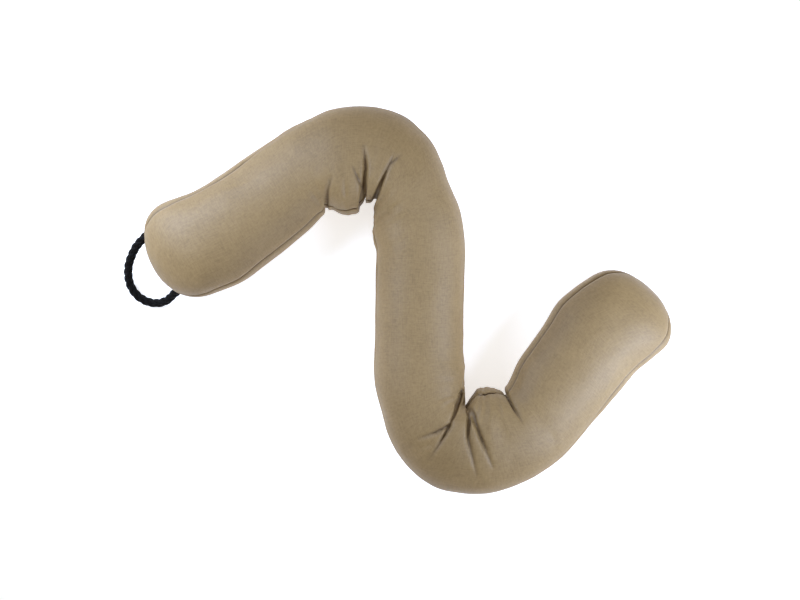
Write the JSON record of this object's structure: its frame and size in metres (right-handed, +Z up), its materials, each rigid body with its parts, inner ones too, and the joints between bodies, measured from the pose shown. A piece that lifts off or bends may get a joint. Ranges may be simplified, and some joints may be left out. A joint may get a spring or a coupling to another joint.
{
  "type": "draught excluder",
  "caption": "Stuffed tan cloth tube lying in an S, laid along the foot of a door to stop draughts, with a black twisted rope loop sewn into one end for hanging it up.",
  "frame": {"origin": "on the surface the tube lies on, under the middle of the tube's bounding box without its rope loop", "axes": "+X along the longest side of the S, from the rope end towards the plain end; +Y towards the first bend; +Z up from the surface"},
  "size_m": [0.623, 0.438, 0.0921],
  "materials": {
    "cover_cloth": "brushed matt tan cloth",
    "loop_rope": "twisted black cord"
  },
  "bodies": {
    "root": {"stuffed_cover": "cover_cloth", "hanging_loop": "loop_rope"}
  },
  "joints": []
}
